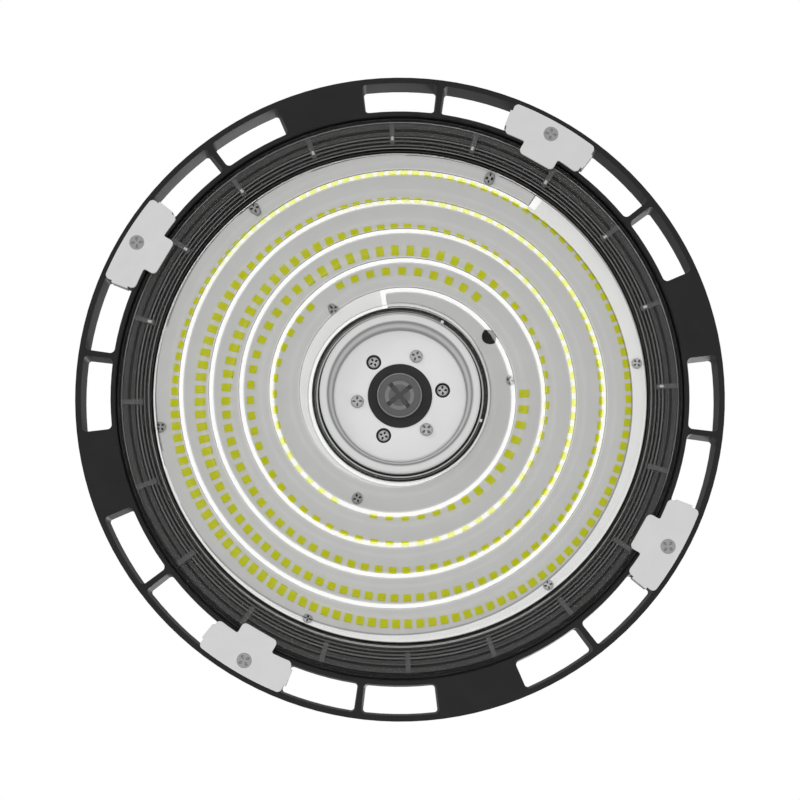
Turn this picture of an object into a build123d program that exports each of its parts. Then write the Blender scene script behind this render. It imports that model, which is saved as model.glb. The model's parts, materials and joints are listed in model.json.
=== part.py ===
from build123d import *
import os
from math import atan2, cos, degrees, radians, sin

# Sizes in millimetres. The light hangs with +Z up and shines down, and z = 0 is its lowest plane.

# General fits
fit_gap = 0.3
thread_gap = 0.1
hole_spare = 0.5
root_overlap = 1.0
screw_head_taper = 0.8
screw_cross_share = 0.25
screw_cross_depth_share = 0.5
countersink_angle = 90.0

# Outer ring
ring_radius = 170.0
ring_depth = 15.5
ring_draft = 1.0
ring_wall = 3.0
slot_width = 15.5
slot_corner = 1.6
slot_draft = 0.8
inner_rim_wall = 2.5
rim_edge_radius = 1.0
pad_count = 8
pad_half_angle = 7.95
rib_width = 2.9
first_pad_angle = 30.0

# Lens clips
clip_count = 4
clip_sheet = 1.5
clip_overhang_angle = 0.45
clip_inner_overlap = 1.3
clip_outer_overlap = 0.3
clip_tab_reach = 4.6
clip_tab_width = 20.3
clip_corner = 2.4
clip_inner_corner = 1.0
flange_inset = 2.5
flange_length = 9.0
flange_sheet = 1.2
flange_depth = 9.0
clip_screw_inset = 6.7
clip_screw_head_radius = 3.9
clip_screw_shank_radius = 2.0
clip_screw_length = 11.0

# Heights behind the ring's front
rim_depth = 4.5
outer_gasket_thickness = 2.0
board_step = 3.0
board_thickness = 1.5
floor_thickness = 6.0
cover_recess_depth = 2.5

# Lens
lens_gap = 1.2
lens_step_width = 1.9
lens_step_depth = 1.1
rim_width = 16.6
rim_skin = 2.2
rim_outer_wall = 3.9
rim_rib_inset = 6.2
rim_rib_width = 1.0
rim_rib_depth = 1.8
skirt_offset = 1.2
skirt_thickness = 2.0
optic_slope_width = 2.0
optic_recess = 2.5
optic_thickness = 2.0
web_count = 20
web_width = 3.4
web_angle = 16.3
web_inset = 3.8
lip_thickness = 1.5
lip_start_angle = -60.0
lip_sweep = -282.0

# Spiral ridge of the lens
spiral_pitch = 15.83
spiral_inner_radius = 55.2
spiral_inner_angle = 262.0
spiral_sweep = 1842.0
valley_width = 2.0
ridge_height = 2.4
crest_offset = 4.6
riser_width = 0.3
riser_height = 1.25
inner_round_width = 1.4
inner_round_drop = 0.22
outer_round_width = 5.5
outer_round_drop = 1.02
ridge_root = 0.6

# Light board
board_gap = 1.9
board_inner_gap = 0.5
board_angle = -2.0
led_edge = 9.3
led_counts = [120, 100, 80, 60]
led_spacings = [13.7, 14.4, 13.3, 12.2]
led_width = 3.9
led_length = 3.4
led_height = 0.8
inner_led_pitch = 7.35
inner_run_angles = [-0.6, 121.8, 241.5]
inner_run_counts = [15, 15, 10]
screw_angle = -7.7
outer_board_screw_inset = 2.5
outer_board_screw_count = 6
inner_board_screw_inset = 11.4
inner_board_screw_count = 3
board_screw_head_radius = 2.8
board_screw_head_height = 1.8
board_screw_shank_radius = 1.5
board_screw_length = 5.5

# Gaskets
outer_gasket_width = 14.0
inner_gasket_width = 3.75
inner_gasket_groove = 0.5
inner_gasket_groove_depth = 0.6
cover_gasket_thickness = 1.5

# Centre cover
cover_radius = 42.1
cover_lip_width = 4.0
cover_cone_width = 3.2
cover_floor_thickness = 2.0
cover_chamfer = 0.8
cover_bead_width = 0.7
cover_bead_height = 0.6
cover_screw_gap = 5.7
cover_screw_count = 3
raised_screw_angle = -67.7
raised_screw_head_radius = 3.4
raised_screw_head_height = 2.4
raised_screw_length = 7.5
deep_screw_hole_radius = 4.0
deep_screw_head_radius = 3.2
deep_screw_head_height = 1.8
deep_screw_length = 20.0
cover_screw_shank_radius = 1.5

# Sensor port and its plug
port_flange_radius = 17.0
port_flange_thickness = 0.5
port_barrel_radius = 13.6
port_barrel_wall = 3.0
port_length = 15.0
port_end_wall = 2.5
port_nut_wall = 1.4
port_nut_height = 4.0
plug_overlap = 1.6
plug_height = 1.8
plug_edge = 0.6
plug_rim_width = 1.0
plug_groove_width = 3.0
plug_groove_depth = 0.5
plug_slot_width = 2.2
plug_slot_depth = 0.9
plug_slot_angle = 40.0
plug_stem_length = 9.0
plug_seal_thickness = 0.8
plug_seal_width = 1.2

# Driver chamber and fins
chamber_radius = 66.0
chamber_wall = 4.0
chamber_height = 73.0
chamber_flange_width = 5.0
chamber_flange_depth = 8.0
boss_radius = 4.5
short_boss_height = 4.0
driver_boss_height = 10.0
fin_count = 36
fin_thickness = 2.2
fin_inset = 2.0
fin_edge_height = 9.0
fin_top_gap = 4.0
fin_bulge = 9.0
short_fin_length = 43.0

# Driver and its lead
driver_gap = 6.0
driver_step = 10.0
driver_foot_height = 17.0
driver_shoulder = 4.0
driver_height = 53.0
wire_hole_radius = 4.3
wire_hole_angle = -33.4
lead_radius = 2.4
lead_rise = 17.0
lead_bend = 7.0
grommet_flange_width = 1.7
grommet_flange_thickness = 1.5

# Driver cover
lid_flange_thickness = 5.0
lid_dome_inset = 11.0
lid_dome_height = 9.5
lid_top_radius = 22.0
lid_wall = 4.0
lid_boss_height = 3.0
lid_screw_inset = 4.4
lid_screw_count = 6
lid_screw_angle = 20.0
lid_screw_head_radius = 3.4
lid_screw_head_height = 2.6
lid_screw_shank_radius = 2.0
lid_screw_length = 12.0

# Hanging eye
eye_inner_radius = 11.5
eye_band = 7.0
eye_width = 9.0
eye_rounding = 2.4
eye_collar_radius = 12.0
eye_collar_height = 4.0
eye_collar_margin = 2.0
eye_sink = 3.0
eye_shank_radius = 5.0
eye_shank_spare = 2.0
eye_nut_flats = 17.0
eye_nut_height = 7.0
eye_washer_radius = 10.0
eye_washer_thickness = 1.5

# Cable gland
gland_inset = 29.0
gland_angle = 90.0
gland_boss_margin = 1.3
gland_boss_height = 8.0
gland_flange_height = 5.0
gland_thread_radius = 8.0
gland_thread_length = 10.0
gland_neck_height = 8.0
gland_neck_wall = 2.3
seal_bore_radius = 4.5
seal_wall = 1.6
seal_head_height = 2.0
gland_nut_wall = 2.4
gland_nut_top = 4.0
gland_nut_taper = 12.0

# Heights worked out from the sizes
ring_front = clip_sheet
ring_back = ring_front + ring_depth
rim_back = ring_front + rim_depth
gasket_land = rim_back + outer_gasket_thickness
board_seat = gasket_land + board_step
board_front = board_seat - board_thickness
floor_back = board_seat + floor_thickness
cover_seat = board_seat + cover_recess_depth
cover_floor_front = cover_seat - cover_floor_thickness
optic_front = ring_front + optic_recess
optic_back = optic_front + optic_thickness
inner_gasket_front = optic_back + lip_thickness / 2
driver_base = floor_back + driver_boss_height
chamber_top = floor_back + chamber_height
lid_base = chamber_top + cover_gasket_thickness
lid_flange_top = lid_base + lid_flange_thickness
lid_top = lid_flange_top + lid_dome_height
lid_ceiling = lid_top - lid_wall
lid_boss_top = lid_top + lid_boss_height
gland_seat = lid_flange_top + gland_boss_height
port_front = cover_floor_front - port_flange_thickness
plug_back = port_front - plug_seal_thickness
plug_front = plug_back - plug_height

# Radii of the ring and the clips
slot_outer_radius = ring_radius - ring_wall
slot_inner_radius = slot_outer_radius - slot_width
pocket_radius = slot_inner_radius - inner_rim_wall
clip_half_angle = pad_half_angle + clip_overhang_angle
clip_outer_radius = slot_outer_radius + clip_outer_overlap
clip_inner_radius = slot_inner_radius - clip_inner_overlap
clip_screw_circle = slot_outer_radius - clip_screw_inset

# Radii of the lens and the board
lens_radius = pocket_radius - lens_gap
lens_step_radius = lens_radius - lens_step_width
rim_wall_radius = lens_radius - rim_width
rim_rib_radius = rim_wall_radius + rim_rib_inset
web_inner_radius = rim_wall_radius + web_inset
web_outer_radius = lens_radius - rim_outer_wall / 2
optic_radius = rim_wall_radius - optic_slope_width
skirt_radius = rim_wall_radius + skirt_offset
skirt_inner_radius = skirt_radius - skirt_thickness
land_inner_radius = skirt_radius + fit_gap
recess_radius = cover_radius + fit_gap
inner_gasket_radius = recess_radius + inner_gasket_width
lens_inner_radius = inner_gasket_radius + thread_gap
clip_tab_radius = lens_radius - clip_tab_reach
board_radius = skirt_inner_radius - board_gap
board_inner_radius = lens_inner_radius + board_inner_gap
outer_board_screw_circle = board_radius - outer_board_screw_inset
inner_board_screw_circle = board_inner_radius + inner_board_screw_inset

# Radii of the centre
cover_lip_radius = cover_radius - cover_lip_width
cover_floor_radius = cover_lip_radius - cover_cone_width
port_bore_radius = port_barrel_radius - port_barrel_wall
port_hole_radius = port_barrel_radius + fit_gap
cover_screw_circle = port_flange_radius + cover_screw_gap
plug_radius = port_bore_radius + plug_overlap
plug_groove_radius = plug_radius - plug_rim_width
plug_disc_radius = plug_groove_radius - plug_groove_width

# Radii of the back
chamber_inner_radius = chamber_radius - chamber_wall
chamber_flange_radius = chamber_radius + chamber_flange_width
fin_radius = pocket_radius - fin_inset
short_fin_radius = fin_radius - short_fin_length
driver_radius = chamber_inner_radius - driver_gap
driver_foot_radius = driver_radius - driver_step
grommet_flange_radius = wire_hole_radius + grommet_flange_width
wire_hole_circle = chamber_inner_radius - grommet_flange_radius - thread_gap * 2
lid_dome_radius = chamber_flange_radius - lid_dome_inset
lid_boss_radius = eye_collar_radius + eye_collar_margin
lid_screw_circle = chamber_flange_radius - lid_screw_inset
eye_outer_radius = eye_inner_radius + eye_band
gland_circle = chamber_flange_radius - gland_inset
gland_neck_bore = seal_bore_radius + seal_wall + thread_gap
gland_neck_radius = gland_neck_bore + gland_neck_wall
gland_flats = 2 * (gland_neck_radius + gland_nut_wall)
gland_boss_radius = gland_flats / 2 / cos(radians(30)) + gland_boss_margin


def level(height, turn=0.0):
    """A plane at a height that looks up, turned about the light's axis."""
    return Plane.XY.offset(height).rotated((0, 0, turn))


def face_down(height, turn=0.0):
    """A plane at a height that looks down, turned about the light's axis."""
    along = (cos(radians(turn)), sin(radians(turn)), 0)
    return Plane(origin=(0, 0, height), x_dir=along, z_dir=(0, 0, -1))


def upright(turn, origin=(0, 0, 0)):
    """A plane that holds the vertical, with x outward at an angle."""
    across = (sin(radians(turn)), -cos(radians(turn)), 0)
    out = (cos(radians(turn)), sin(radians(turn)), 0)
    return Plane(origin=origin, x_dir=out, z_dir=across)


def sector(inner_radius, outer_radius, start, end, corner):
    """An annular sector with rounded corners."""
    with BuildSketch() as area:
        with BuildLine():
            near = CenterArc((0, 0), inner_radius, start, end - start)
            far = CenterArc((0, 0), outer_radius, start, end - start)
            Line(near @ 0, far @ 0)
            Line(near @ 1, far @ 1)
        make_face()
        fillet(area.vertices(), corner)
    return area.sketch


def pan_screw(head_radius, head_height, shank_radius, shank_length):
    """A screw with its head below its seat at z = 0 and its shank above."""
    with BuildPart() as screw:
        Cone(
            head_radius * screw_head_taper,
            head_radius,
            head_height,
            align=(Align.CENTER, Align.CENTER, Align.MAX),
        )
        Cylinder(shank_radius, shank_length, align=(Align.CENTER, Align.CENTER, Align.MIN))
        with BuildSketch(Plane.XY.offset(-head_height)):
            Rectangle(head_radius, head_radius * screw_cross_share)
            Rectangle(head_radius * screw_cross_share, head_radius)
        extrude(amount=head_height * screw_cross_depth_share, mode=Mode.SUBTRACT)
    return screw.part


# Fin
fin_low = floor_back + fin_edge_height
fin_high = chamber_top - chamber_flange_depth - fin_top_gap
with BuildPart() as long_fin:
    with BuildSketch(Plane.XZ):
        with BuildLine():
            foot = Polyline(
                (chamber_flange_radius, fin_high),
                (chamber_radius - root_overlap, fin_high),
                (chamber_radius - root_overlap, floor_back - root_overlap),
                (fin_radius, floor_back - root_overlap),
                (fin_radius, fin_low),
            )
            SagittaArc(foot @ 1, foot @ 0, fin_bulge)
        make_face()
    extrude(amount=fin_thickness / 2, both=True)

with BuildPart() as short_fin:
    add(long_fin.part)
    with BuildSketch(Plane.XZ):
        with Locations((short_fin_radius, floor_back - chamber_wall)):
            Rectangle(
                chamber_flange_radius,
                chamber_height,
                align=(Align.MAX, Align.MIN),
            )
    extrude(amount=fin_thickness, both=True, mode=Mode.SUBTRACT)

# Housing
board_hole_depth = board_screw_length - board_thickness + hole_spare
raised_hole_depth = raised_screw_length - cover_floor_thickness + hole_spare
lid_hole_depth = lid_screw_length - lid_flange_thickness - cover_gasket_thickness + hole_spare
with BuildPart() as housing:
    with BuildSketch(Plane.XZ) as section:
        with BuildLine():
            Polyline(
                (port_hole_radius, cover_seat),
                (recess_radius, cover_seat),
                (recess_radius, board_seat),
                (land_inner_radius, board_seat),
                (land_inner_radius, gasket_land),
                (pocket_radius, gasket_land),
                (pocket_radius, ring_front),
                (ring_radius, ring_front),
                (ring_radius - ring_draft, ring_back),
                (pocket_radius, floor_back),
                (chamber_radius, floor_back),
                (chamber_radius, chamber_top - chamber_flange_depth),
                (chamber_flange_radius, chamber_top - chamber_flange_depth),
                (chamber_flange_radius, chamber_top),
                (chamber_inner_radius, chamber_top),
                (chamber_inner_radius, floor_back),
                (port_hole_radius, floor_back),
                close=True,
            )
        make_face()
        pocket_edge = section.vertices().sort_by_distance((pocket_radius, ring_front, 0))[0]
        fillet(pocket_edge, rim_edge_radius)
    revolve(axis=Axis.Z)
    draft_angle = degrees(slot_draft / slot_inner_radius)
    slot_start = pad_half_angle + draft_angle
    rib_half_angle = degrees(rib_width / (slot_inner_radius + slot_outer_radius))
    slot_end = 180 / pad_count - rib_half_angle - draft_angle
    with BuildSketch(face_down(ring_back, first_pad_angle)):
        with PolarLocations(0, pad_count):
            for start, end in ((slot_start, slot_end), (-slot_end, -slot_start)):
                near = slot_inner_radius + slot_draft
                far = slot_outer_radius - slot_draft
                add(sector(near, far, start, end, slot_corner))
    slot_taper = degrees(atan2(slot_draft, ring_depth))
    extrude(amount=ring_depth, taper=-slot_taper, mode=Mode.SUBTRACT)
    with PolarLocations(0, fin_count):
        add(long_fin.part)
    with PolarLocations(0, fin_count, start_angle=180 / fin_count):
        add(short_fin.part)
    with BuildSketch(level(floor_back, raised_screw_angle)):
        with PolarLocations(cover_screw_circle, cover_screw_count):
            Circle(boss_radius)
    extrude(amount=short_boss_height)
    with BuildSketch(level(floor_back, screw_angle)):
        with PolarLocations(cover_screw_circle, cover_screw_count):
            Circle(boss_radius)
    extrude(amount=driver_boss_height)
    with Locations(face_down(cover_seat, raised_screw_angle)):
        with PolarLocations(cover_screw_circle, cover_screw_count):
            Hole(cover_screw_shank_radius + thread_gap, raised_hole_depth)
    with Locations(face_down(cover_seat, screw_angle)):
        with PolarLocations(cover_screw_circle, cover_screw_count):
            Hole(cover_screw_shank_radius + fit_gap)
    with Locations(face_down(board_seat, screw_angle)):
        with PolarLocations(outer_board_screw_circle, outer_board_screw_count):
            Hole(board_screw_shank_radius + thread_gap, board_hole_depth)
        with PolarLocations(inner_board_screw_circle, inner_board_screw_count):
            Hole(board_screw_shank_radius + thread_gap, board_hole_depth)
    with Locations(face_down(board_seat, wire_hole_angle)):
        with Locations((wire_hole_circle, 0)):
            Hole(wire_hole_radius, floor_thickness)
    with Locations(face_down(ring_front, first_pad_angle)):
        with PolarLocations(clip_screw_circle, clip_count):
            CounterSinkHole(
                clip_screw_shank_radius + thread_gap,
                clip_screw_head_radius - clip_sheet + fit_gap,
                clip_screw_length - clip_sheet + hole_spare,
                countersink_angle,
            )
    with Locations(level(chamber_top, lid_screw_angle)):
        with PolarLocations(lid_screw_circle, lid_screw_count):
            Hole(lid_screw_shank_radius + thread_gap, lid_hole_depth)
housing.part.label = "housing"

# Outer lens gasket
with BuildPart() as lens_gasket_outer:
    with BuildSketch(level(rim_back)):
        Circle(lens_radius)
        Circle(lens_radius - outer_gasket_width, mode=Mode.SUBTRACT)
    extrude(amount=outer_gasket_thickness)
lens_gasket_outer.part.label = "lens_gasket_outer"

# Inner lens gasket
with BuildPart() as lens_gasket_inner:
    with BuildSketch(level(inner_gasket_front)):
        Circle(inner_gasket_radius)
        Circle(recess_radius, mode=Mode.SUBTRACT)
    extrude(amount=board_seat - inner_gasket_front)
    with BuildSketch(level(inner_gasket_front)):
        for share in (1 / 3, 2 / 3):
            groove_radius = recess_radius + inner_gasket_width * share
            Circle(groove_radius + inner_gasket_groove / 2)
            Circle(groove_radius - inner_gasket_groove / 2, mode=Mode.SUBTRACT)
    extrude(amount=inner_gasket_groove_depth, mode=Mode.SUBTRACT)
lens_gasket_inner.part.label = "lens_gasket_inner"

# Spiral ridge
quarter_step = spiral_pitch / 4
quarter_turns = int(spiral_sweep // 90)
with BuildPart() as spiral:
    for quarter in range(quarter_turns + 1):
        turn = spiral_inner_angle + 90 * quarter
        sweep_angle = min(90, spiral_sweep - 90 * quarter)
        out = Vector(cos(radians(turn)), sin(radians(turn)), 0)
        centre = (Axis.Z.direction.cross(out) - out) * (quarter_step / 2)
        quarter_middle = quarter_step * quarter + quarter_step / 2
        outer_edge = spiral_inner_radius + quarter_middle - valley_width / 2
        inner_edge = outer_edge - spiral_pitch + valley_width
        crest = inner_edge + crest_offset
        crest_height = optic_front - ridge_height
        with BuildSketch(upright(turn, centre)):
            with BuildLine():
                inner_round = (crest - inner_round_width, crest_height + inner_round_drop)
                outer_round = (crest + outer_round_width, crest_height + outer_round_drop)
                TangentArc((crest, crest_height), inner_round, tangent=(-1, 0))
                TangentArc((crest, crest_height), outer_round, tangent=(1, 0))
                Polyline(
                    inner_round,
                    (inner_edge + riser_width, optic_front - riser_height),
                    (inner_edge, optic_front),
                    (inner_edge, optic_front + ridge_root),
                    (outer_edge, optic_front + ridge_root),
                    (outer_edge, optic_front),
                    outer_round,
                )
            make_face()
        revolve(axis=Axis(centre, (0, 0, 1)), revolution_arc=sweep_angle)
    with BuildSketch():
        Circle(rim_wall_radius - thread_gap)
        Circle(lens_inner_radius + thread_gap, mode=Mode.SUBTRACT)
    extrude(amount=optic_back, mode=Mode.INTERSECT)

# Lens
with BuildPart() as lens:
    with BuildSketch(Plane.XZ):
        with BuildLine():
            Polyline(
                (lens_inner_radius, optic_front),
                (optic_radius, optic_front),
                (rim_wall_radius, ring_front),
                (lens_step_radius, ring_front),
                (lens_step_radius + lens_step_depth / 2, ring_front + lens_step_depth),
                (lens_radius, ring_front + lens_step_depth),
                (lens_radius, rim_back),
                (lens_radius - rim_outer_wall, rim_back),
                (lens_radius - rim_outer_wall, ring_front + rim_skin),
                (rim_rib_radius + rim_rib_width, ring_front + rim_skin),
                (rim_rib_radius + rim_rib_width, ring_front + rim_skin + rim_rib_depth),
                (rim_rib_radius, ring_front + rim_skin + rim_rib_depth),
                (rim_rib_radius, ring_front + rim_skin),
                (skirt_radius, ring_front + rim_skin),
                (skirt_radius, board_front),
                (skirt_inner_radius, board_front),
                (skirt_inner_radius, optic_back),
                (lens_inner_radius + skirt_thickness, optic_back),
                (lens_inner_radius + skirt_thickness, board_front - fit_gap),
                (lens_inner_radius, board_front - fit_gap),
                close=True,
            )
        make_face()
    revolve(axis=Axis.Z)
    with BuildSketch(level(ring_front + rim_skin / 2, web_angle)):
        with PolarLocations((web_inner_radius + web_outer_radius) / 2, web_count):
            Rectangle(web_outer_radius - web_inner_radius, web_width)
    extrude(amount=rim_skin / 2 + rim_rib_depth)
    with BuildSketch(level(inner_gasket_front - lip_thickness)):
        add(
            sector(
                recess_radius + fit_gap,
                lens_inner_radius + skirt_thickness / 2,
                lip_start_angle + lip_sweep,
                lip_start_angle,
                fit_gap,
            )
        )
    extrude(amount=lip_thickness)
    add(spiral.part)
lens.part.label = "lens"

# Light board
with BuildPart() as led_board:
    with BuildSketch(level(board_front)):
        Circle(board_radius)
        Circle(board_inner_radius, mode=Mode.SUBTRACT)
    extrude(amount=board_thickness)
    with Locations(face_down(board_front, screw_angle)):
        with PolarLocations(outer_board_screw_circle, outer_board_screw_count):
            Hole(board_screw_shank_radius + fit_gap, board_thickness)
        with PolarLocations(inner_board_screw_circle, inner_board_screw_count):
            Hole(board_screw_shank_radius + fit_gap, board_thickness)
    with Locations(face_down(board_front, wire_hole_angle)):
        with Locations((wire_hole_circle, 0)):
            Hole(wire_hole_radius, board_thickness)
led_board.part.label = "led_board"

# Light rings
led_parts = []
led_radius = board_radius - led_edge
for number, count in enumerate(led_counts, start=1):
    with BuildPart() as led_ring:
        with BuildSketch(level(board_front - led_height, board_angle)):
            with PolarLocations(led_radius, count):
                Rectangle(led_length, led_width)
        extrude(amount=led_height)
    led_ring.part.label = f"led_ring_{number}"
    led_parts.append(led_ring.part)
    led_radius = led_radius - led_spacings[number - 1]

with BuildPart() as inner_led_ring:
    for start, count in zip(inner_run_angles, inner_run_counts):
        with BuildSketch(level(board_front - led_height, start)):
            run = inner_led_pitch * (count - 1)
            with PolarLocations(led_radius, count, 0, run, endpoint=True):
                Rectangle(led_length, led_width)
        extrude(amount=led_height)
inner_led_ring.part.label = f"led_ring_{len(led_counts) + 1}"
led_parts.append(inner_led_ring.part)

# Board screws
board_screw = pan_screw(
    board_screw_head_radius,
    board_screw_head_height,
    board_screw_shank_radius,
    board_screw_length,
)
with BuildPart(level(board_front, screw_angle)) as board_screws_outer:
    with PolarLocations(outer_board_screw_circle, outer_board_screw_count):
        add(board_screw)
board_screws_outer.part.label = "board_screws_outer"

with BuildPart(level(board_front, screw_angle)) as board_screws_inner:
    with PolarLocations(inner_board_screw_circle, inner_board_screw_count):
        add(board_screw)
board_screws_inner.part.label = "board_screws_inner"

# Centre cover
with BuildPart() as centre_cover:
    with BuildSketch(Plane.XZ):
        with BuildLine():
            Polyline(
                (port_hole_radius, cover_floor_front),
                (cover_floor_radius - cover_bead_width, cover_floor_front),
                (cover_floor_radius - cover_bead_width, cover_floor_front + cover_bead_height),
                (cover_floor_radius, cover_floor_front + cover_bead_height),
                (cover_lip_radius - cover_chamfer, cover_chamfer),
                (cover_lip_radius, 0),
                (cover_radius - cover_chamfer, 0),
                (cover_radius, cover_chamfer),
                (cover_radius, cover_seat),
                (port_hole_radius, cover_seat),
                close=True,
            )
        make_face()
    revolve(axis=Axis.Z)
    with Locations(face_down(cover_floor_front, raised_screw_angle)):
        with PolarLocations(cover_screw_circle, cover_screw_count):
            Hole(cover_screw_shank_radius + fit_gap, cover_floor_thickness)
    with Locations(face_down(cover_floor_front, screw_angle)):
        with PolarLocations(cover_screw_circle, cover_screw_count):
            Hole(deep_screw_hole_radius, cover_floor_thickness)
centre_cover.part.label = "centre_cover"

# Raised screws of the centre cover
raised_screw = pan_screw(
    raised_screw_head_radius,
    raised_screw_head_height,
    cover_screw_shank_radius,
    raised_screw_length,
)
with BuildPart(level(cover_floor_front, raised_screw_angle)) as cover_screws:
    with PolarLocations(cover_screw_circle, cover_screw_count):
        add(raised_screw)
cover_screws.part.label = "cover_screws"

# Deep screws that hold the driver
deep_screw = pan_screw(
    deep_screw_head_radius,
    deep_screw_head_height,
    cover_screw_shank_radius,
    deep_screw_length,
)
with BuildPart(level(cover_seat, screw_angle)) as driver_screws:
    with PolarLocations(cover_screw_circle, cover_screw_count):
        add(deep_screw)
driver_screws.part.label = "driver_screws"

# Sensor port
with BuildPart() as sensor_port:
    with BuildSketch(level(port_front)):
        Circle(port_flange_radius)
    extrude(amount=port_flange_thickness)
    with BuildSketch(level(cover_floor_front)):
        Circle(port_barrel_radius)
    extrude(amount=port_length)
    with BuildSketch(level(port_front)):
        Circle(port_bore_radius)
    extrude(amount=port_flange_thickness + port_length - port_end_wall, mode=Mode.SUBTRACT)
sensor_port.part.label = "sensor_port"

with BuildPart() as port_nut:
    with BuildSketch(level(floor_back)):
        RegularPolygon(port_barrel_radius + port_nut_wall, 6, major_radius=False)
        Circle(port_barrel_radius + thread_gap, mode=Mode.SUBTRACT)
    extrude(amount=port_nut_height)
port_nut.part.label = "port_nut"

# Plug of the sensor port
with BuildPart() as port_plug:
    with BuildSketch(level(plug_front)):
        Circle(plug_radius)
    extrude(amount=plug_height)
    chamfer(port_plug.edges().filter_by(GeomType.CIRCLE).sort_by(Axis.Z)[0], plug_edge)
    with BuildSketch(level(plug_front)):
        Circle(plug_groove_radius)
        Circle(plug_disc_radius, mode=Mode.SUBTRACT)
    extrude(amount=plug_groove_depth, mode=Mode.SUBTRACT)
    with BuildSketch(level(plug_front, -plug_slot_angle)):
        Rectangle(plug_disc_radius * 2, plug_slot_width)
        Rectangle(plug_slot_width, plug_disc_radius * 2)
    extrude(amount=plug_slot_depth, mode=Mode.SUBTRACT)
    with BuildSketch(level(plug_back)):
        Circle(port_bore_radius - fit_gap)
    extrude(amount=plug_seal_thickness + plug_stem_length)
port_plug.part.label = "port_plug"

with BuildPart() as plug_seal:
    with BuildSketch(level(plug_back)):
        Circle(port_bore_radius + plug_seal_width)
        Circle(port_bore_radius, mode=Mode.SUBTRACT)
    extrude(amount=plug_seal_thickness)
plug_seal.part.label = "plug_seal"

# Lens clips
clip_parts = []
flange_inner_radius = slot_inner_radius + flange_inset
flange_outer_radius = flange_inner_radius + flange_length
flange_start = pad_half_angle + degrees((fit_gap + slot_draft) / flange_inner_radius)
flange_end = flange_start + degrees(flange_sheet / flange_inner_radius)
with BuildSketch() as clip_outline:
    add(sector(clip_inner_radius, clip_outer_radius, -clip_half_angle, clip_half_angle, clip_corner))
    add(sector(flange_inner_radius, flange_outer_radius, -flange_end, flange_end, fit_gap))
    with Locations((clip_tab_radius, 0)):
        Rectangle(
            clip_inner_radius - clip_tab_radius + clip_corner,
            clip_tab_width,
            align=(Align.MIN, Align.CENTER),
        )
    tab_side = clip_tab_width / 2 + fit_gap
    tab_corners = clip_outline.vertices().filter_by_position(Axis.Y, -tab_side, tab_side)
    fillet(tab_corners.sort_by(Axis.X)[2:4], clip_inner_corner)
    fillet(clip_outline.vertices().sort_by(Axis.X)[0:2], clip_corner)
for number in range(clip_count):
    clip_angle = first_pad_angle + 360 / clip_count * number
    with BuildPart() as clip:
        with BuildSketch(level(0, clip_angle)):
            add(clip_outline.sketch)
        extrude(amount=clip_sheet)
        with BuildSketch(level(0, clip_angle)):
            for side_sign in (-1, 1):
                add(
                    sector(
                        flange_inner_radius,
                        flange_outer_radius,
                        min(side_sign * flange_start, side_sign * flange_end),
                        max(side_sign * flange_start, side_sign * flange_end),
                        fit_gap,
                    )
                )
        extrude(amount=flange_depth)
        with Locations(face_down(0, clip_angle)):
            with Locations((clip_screw_circle, 0)):
                CounterSinkHole(
                    clip_screw_shank_radius + fit_gap,
                    clip_screw_head_radius + thread_gap,
                    clip_sheet,
                    countersink_angle,
                )
    clip.part.label = f"clip_{number + 1}"
    clip_parts.append(clip.part)

# Clip screws
with BuildPart() as flush_screw:
    with BuildSketch(Plane.XZ):
        with BuildLine():
            Polyline(
                (0, thread_gap),
                (clip_screw_head_radius - thread_gap, thread_gap),
                (clip_screw_shank_radius, clip_screw_head_radius - clip_screw_shank_radius),
                (clip_screw_shank_radius, clip_screw_length),
                (0, clip_screw_length),
                close=True,
            )
        make_face()
    revolve(axis=Axis.Z)
with BuildPart(level(0, first_pad_angle)) as clip_screws:
    with PolarLocations(clip_screw_circle, clip_count):
        add(flush_screw.part)
clip_screws.part.label = "clip_screws"

# Driver
driver_hole_depth = deep_screw_length - driver_base + cover_seat + hole_spare
with BuildPart() as led_driver:
    with BuildSketch(Plane.XZ):
        with BuildLine():
            Polyline(
                (0, driver_base),
                (driver_foot_radius, driver_base),
                (driver_foot_radius, driver_base + driver_foot_height),
                (driver_radius, driver_base + driver_foot_height + driver_shoulder),
                (driver_radius, driver_base + driver_height),
                (0, driver_base + driver_height),
                close=True,
            )
        make_face()
    revolve(axis=Axis.Z)
    with Locations(face_down(driver_base, screw_angle)):
        with PolarLocations(cover_screw_circle, cover_screw_count):
            Hole(cover_screw_shank_radius + thread_gap, driver_hole_depth)
led_driver.part.label = "led_driver"

# Grommet in the wire hole
with BuildPart() as wire_grommet:
    with BuildSketch(level(board_front + fit_gap, wire_hole_angle)):
        with Locations((wire_hole_circle, 0)):
            Circle(wire_hole_radius - thread_gap)
    extrude(amount=floor_back - board_front - fit_gap)
    with BuildSketch(level(floor_back, wire_hole_angle)):
        with Locations((wire_hole_circle, 0)):
            Circle(grommet_flange_radius)
    extrude(amount=grommet_flange_thickness)
    with Locations(level(floor_back + grommet_flange_thickness, wire_hole_angle)):
        with Locations((wire_hole_circle, 0)):
            Hole(lead_radius + thread_gap)
wire_grommet.part.label = "wire_grommet"

# Lead from the driver to the board
with BuildPart() as output_lead:
    with BuildLine(upright(wire_hole_angle)) as lead_path:
        FilletPolyline(
            (wire_hole_circle, board_front + fit_gap),
            (wire_hole_circle, floor_back + lead_rise),
            (driver_foot_radius, floor_back + lead_rise),
            radius=lead_bend,
        )
    with BuildSketch(Plane(origin=lead_path.line @ 0, z_dir=lead_path.line % 0)):
        Circle(lead_radius)
    sweep()
output_lead.part.label = "output_lead"

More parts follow.
